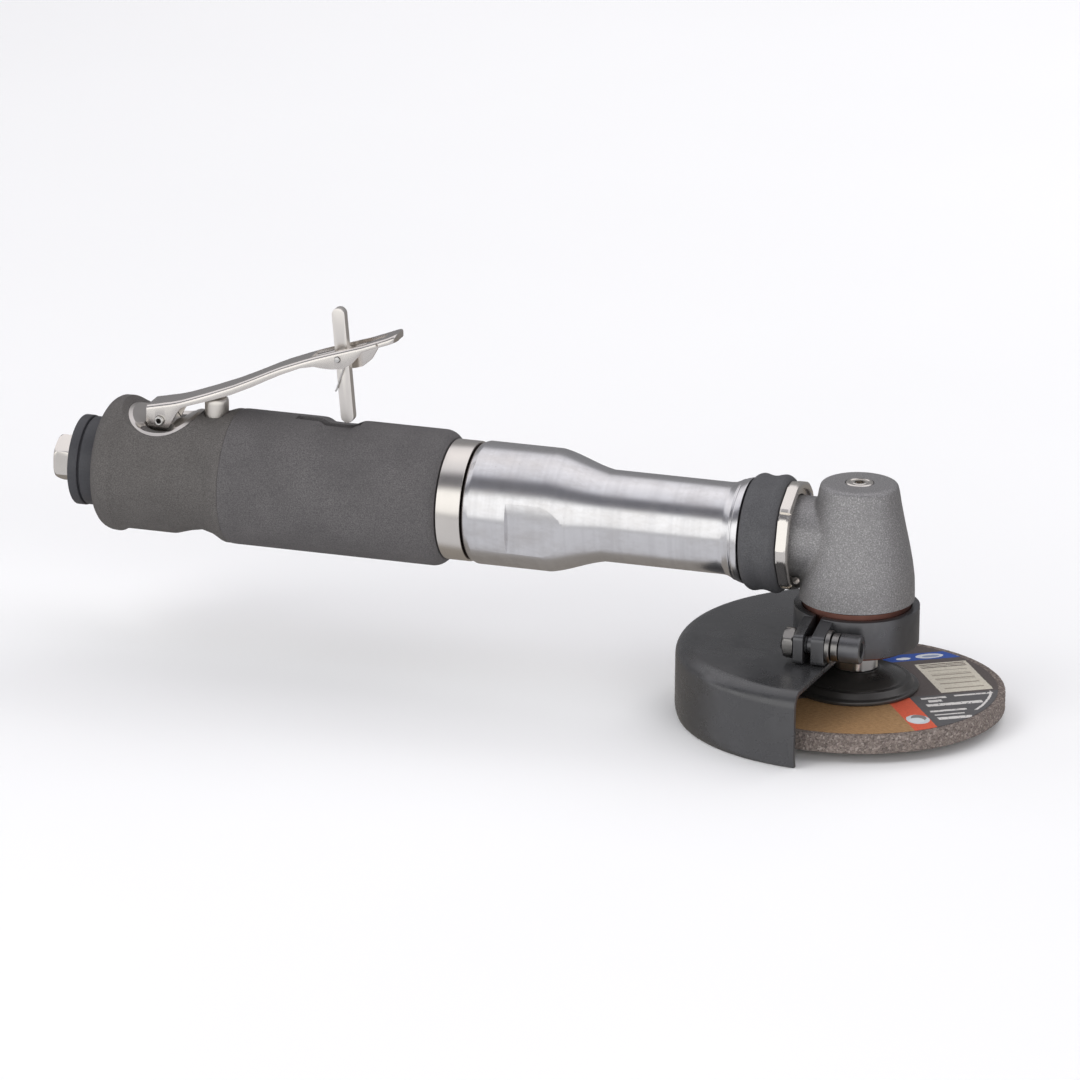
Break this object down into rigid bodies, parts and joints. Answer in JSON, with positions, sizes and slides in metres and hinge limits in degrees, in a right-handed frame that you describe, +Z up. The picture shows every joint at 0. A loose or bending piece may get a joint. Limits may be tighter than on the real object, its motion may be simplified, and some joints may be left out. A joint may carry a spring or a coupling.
{
  "type": "angle grinder",
  "caption": "Pneumatic extension angle grinder with lever throttle, lock-off tab, right-angle bevel head, half guard and depressed-centre wheel.",
  "frame": {"origin": "centre of the spindle's nose, on the spindle's axis", "axes": "+Z up the spindle from the wheel into the head, +X from the handle towards the head along the tool's length, +Y completes the right-handed frame"},
  "size_m": [0.337, 0.1218, 0.1251],
  "materials": {
    "nickel": "satin nickel plate",
    "black_plastic": "smooth",
    "aluminium": "machined",
    "grip": "matte, finely speckled",
    "rubber": "matte",
    "steel": "machined",
    "head": "bead blasted",
    "bronze": "satin",
    "black_oxide": "satin",
    "black_paint": "satin",
    "abrasive": "granular",
    "vane": "phenolic laminate"
  },
  "bodies": {
    "tool_body": {"inlet_bushing": "nickel", "exhaust_ring": "black_plastic", "valve_body": "aluminium", "rear_grip": "grip", "main_grip": "grip", "motor_housing": "aluminium", "motor_cylinder": "steel", "rear_end_plate": "steel", "front_end_plate": "steel", "rear_bearing": "steel", "front_bearing": "steel", "lock_ring": "nickel", "extension_housing": "steel", "extension_bearing": "steel", "boot_ring": "rubber", "coupling_nut": "nickel", "gearhead_housing": "head", "pinion_bearing": "steel", "cap_plug": "nickel", "upper_bearing": "steel", "bearing_cap": "bronze", "lower_bearing": "steel", "spindle_seal": "rubber", "lever_pin": "steel", "valve_spring": "steel"},
    "spindle_group": {"spindle": "steel", "bevel_gear": "steel", "backing_flange": "black_oxide", "grinding_wheel": "abrasive", "flange_nut": "steel"},
    "motor_group": {"rotor": "steel", "vane_1": "vane", "vane_2": "vane", "vane_3": "vane", "vane_4": "vane", "rotor_shaft": "steel", "shaft_coupling": "steel", "extension_shaft": "steel", "bevel_pinion": "steel"},
    "lever_group": {"throttle_lever": "nickel", "tab_pin": "steel"},
    "tab_group": {"lock_off_tab": "nickel", "tab_spring": "steel"},
    "plunger_group": {"valve_plunger": "nickel"},
    "guard_group": {"guard": "black_paint", "clamp_collar": "black_oxide", "clamp_bolt": "black_oxide", "clamp_washer": "black_oxide", "lock_washer": "black_oxide", "clamp_nut": "black_oxide"}
  },
  "joints": [
    {"name": "spindle_spin", "type": "hinge", "parent": "tool_body", "child": "spindle_group", "pos_m": [0, 0, 0.03], "axis": [0, 0, 1], "continuous": true},
    {"name": "motor_spin", "type": "hinge", "parent": "tool_body", "child": "motor_group", "pos_m": [-0.1, 0, 0.0567], "axis": [1, 0, 0], "continuous": true},
    {"name": "throttle_lever_press", "type": "hinge", "parent": "tool_body", "child": "lever_group", "pos_m": [-0.2473, 0, 0.0757], "axis": [0, 1, 0], "range_deg": [0, 9], "stiffness_Nm_per_rad": 1.5, "springref_deg": -5.73},
    {"name": "lock_off_fold", "type": "hinge", "parent": "lever_group", "child": "tab_group", "pos_m": [-0.1831, 0, 0.104], "axis": [0, 1, 0], "range_deg": [0, 63]},
    {"name": "valve_plunger_slide", "type": "slide", "parent": "tool_body", "child": "plunger_group", "axis": [0, 0, -1], "range_m": [0, 0.0034], "deforming": ["valve_spring"]},
    {"name": "guard_swivel", "type": "hinge", "parent": "tool_body", "child": "guard_group", "pos_m": [0, 0, 0.0285], "axis": [0, 0, 1], "range_deg": [-90, 90]}
  ],
  "couplings": [
    {"joint": "motor_spin", "follows": "spindle_spin", "ratio": -1.5},
    {"joint": "lock_off_fold", "follows": "throttle_lever_press", "ratio": 7},
    {"joint": "valve_plunger_slide", "follows": "throttle_lever_press", "m_per_rad": 0.0212}
  ]
}
